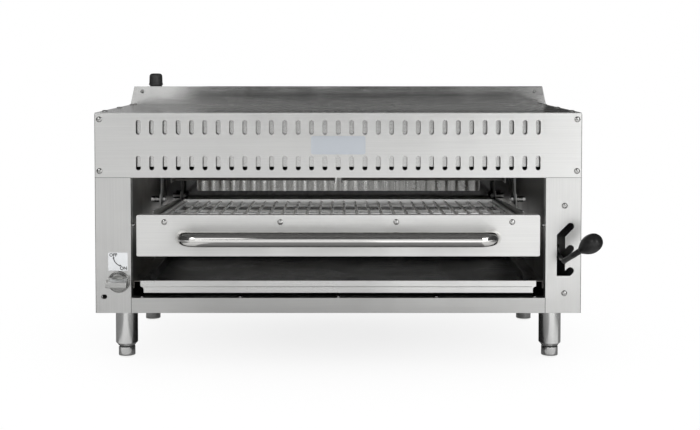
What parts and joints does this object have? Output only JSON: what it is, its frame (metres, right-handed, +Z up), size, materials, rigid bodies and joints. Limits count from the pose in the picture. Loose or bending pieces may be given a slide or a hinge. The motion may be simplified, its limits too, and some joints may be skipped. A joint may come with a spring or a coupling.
{
  "type": "cheese melter",
  "caption": "Steel gas infrared cheese melter on legs, slotted front, lever-lifted pull-out rack with bar handle over a drip pan.",
  "frame": {"origin": "on the floor under the centre of the body, in the plane of the four feet", "axes": "+X to the right seen from the front, +Y to the back, +Z up"},
  "size_m": [0.935, 0.556, 0.548],
  "materials": {
    "brushed_steel": "brushed",
    "dull_steel": "mill",
    "badge": "satin",
    "liner_steel": "heat-dulled",
    "reflector_steel": "polished",
    "burner_steel": "heat-dulled",
    "ceramic": "matte",
    "plated_tube": "zinc plated",
    "valve_brass": "satin",
    "black_pipe": "matte",
    "black_plastic": "glossy",
    "polished_steel": "polished",
    "label": "satin",
    "leg_steel": "brushed",
    "foot_steel": "machined",
    "bush_bronze": "matte",
    "screw_steel": "plated",
    "lift_steel": "oiled",
    "rail_steel": "smooth",
    "rod_steel": "plated",
    "rack_panel_steel": "brushed",
    "black_rod": "satin",
    "pan_steel": "brushed"
  },
  "bodies": {
    "cabinet": {"front_panel": "brushed_steel", "slot_baffle": "dull_steel", "name_plate": "badge", "top_panel": "brushed_steel", "flue_riser": "brushed_steel", "flue_duct": "dull_steel", "left_side_panel": "brushed_steel", "right_side_panel": "brushed_steel", "back_panel": "dull_steel", "base_panel": "dull_steel", "left_post": "brushed_steel", "right_post": "brushed_steel", "bottom_rail": "brushed_steel", "floor_panel": "liner_steel", "left_liner": "liner_steel", "right_liner": "liner_steel", "rear_liner": "liner_steel", "rear_reflector": "reflector_steel", "cavity_roof": "liner_steel", "burner_left": "burner_steel", "burner_right": "burner_steel", "burner_tiles": "ceramic", "burner_screens": "burner_steel", "gas_manifold": "plated_tube", "gas_valve": "valve_brass", "inlet_pipe": "black_pipe", "inlet_cap": "black_plastic", "pilot_tube": "plated_tube", "knob_bezel": "polished_steel", "control_label": "label", "leg_front_left": "leg_steel", "leg_front_right": "leg_steel", "leg_back_left": "leg_steel", "leg_back_right": "leg_steel", "shaft_bushes": "bush_bronze", "lever_stud": "plated_tube", "pan_runners": "liner_steel", "panel_screws": "screw_steel", "rivets": "screw_steel"},
    "gas_knob": {"gas_knob": "polished_steel", "valve_stem": "valve_brass"},
    "foot_front_left": {"foot_front_left": "foot_steel"},
    "foot_front_right": {"foot_front_right": "foot_steel"},
    "foot_back_left": {"foot_back_left": "foot_steel"},
    "foot_back_right": {"foot_back_right": "foot_steel"},
    "front_shaft": {"front_lift_shaft": "lift_steel"},
    "rear_shaft": {"rear_lift_shaft": "lift_steel"},
    "carriage": {"left_rail": "rail_steel", "right_rail": "rail_steel", "hanger_links": "lift_steel", "hanger_bolts": "screw_steel"},
    "rack": {"rack_frame": "rod_steel", "rack_rods": "rod_steel", "rack_front": "rack_panel_steel", "rack_handle": "polished_steel"},
    "lever": {"lever_hub": "lift_steel"},
    "lever_handle": {"lever_rod": "black_rod", "lever_grip": "black_plastic"},
    "pushrod": {"pushrod": "lift_steel"},
    "drip_pan": {"drip_pan": "pan_steel"}
  },
  "joints": [
    {"name": "rack_lift", "type": "hinge", "parent": "cabinet", "child": "front_shaft", "pos_m": [0, -0.1935, 0.368], "axis": [-1, 0, 0], "range_deg": [-15.5, 22.5]},
    {"name": "rear_shaft_turn", "type": "hinge", "parent": "cabinet", "child": "rear_shaft", "pos_m": [0, 0.0915, 0.368], "axis": [-1, 0, 0], "range_deg": [-15.5, 22.5]},
    {"name": "carriage_hang", "type": "hinge", "parent": "front_shaft", "child": "carriage", "pos_m": [0, -0.1085, 0.368], "axis": [-1, 0, 0], "range_deg": [-22.5, 15.5]},
    {"name": "lever_swing", "type": "hinge", "parent": "cabinet", "child": "lever", "pos_m": [0.419, -0.1285, 0.2064], "axis": [-1, 0, 0], "range_deg": [-15.5, 22.5]},
    {"name": "pushrod_turn", "type": "hinge", "parent": "lever", "child": "pushrod", "pos_m": [0.401, -0.0935, 0.2064], "axis": [-1, 0, 0], "range_deg": [-22.5, 15.5]},
    {"name": "latch", "type": "hinge", "parent": "lever", "child": "lever_handle", "pos_m": [0.419, -0.1485, 0.2064], "axis": [-0.7071, 0, 0.7071], "range_deg": [0, 14]},
    {"name": "rack_pull", "type": "slide", "parent": "carriage", "child": "rack", "axis": [0, -0.9994, 0.0349], "range_m": [0, 0.26]},
    {"name": "pan_pull", "type": "slide", "parent": "cabinet", "child": "drip_pan", "axis": [0, -1, 0], "range_m": [0, 0.34]},
    {"name": "knob_turn", "type": "hinge", "parent": "cabinet", "child": "gas_knob", "pos_m": [-0.413, -0.2285, 0.161], "axis": [0, -1, 0], "range_deg": [-90, 0]},
    {"name": "front_left_foot_screw", "type": "slide", "parent": "cabinet", "child": "foot_front_left", "axis": [0, 0, -1], "range_m": [0, 0.02]},
    {"name": "front_right_foot_screw", "type": "slide", "parent": "cabinet", "child": "foot_front_right", "axis": [0, 0, -1], "range_m": [0, 0.02]},
    {"name": "back_left_foot_screw", "type": "slide", "parent": "cabinet", "child": "foot_back_left", "axis": [0, 0, -1], "range_m": [0, 0.02]},
    {"name": "back_right_foot_screw", "type": "slide", "parent": "cabinet", "child": "foot_back_right", "axis": [0, 0, -1], "range_m": [0, 0.02]}
  ],
  "couplings": [
    {"joint": "rear_shaft_turn", "follows": "rack_lift", "ratio": 1},
    {"joint": "carriage_hang", "follows": "rack_lift", "ratio": -1},
    {"joint": "lever_swing", "follows": "rack_lift", "ratio": 1},
    {"joint": "pushrod_turn", "follows": "rack_lift", "ratio": -1}
  ]
}
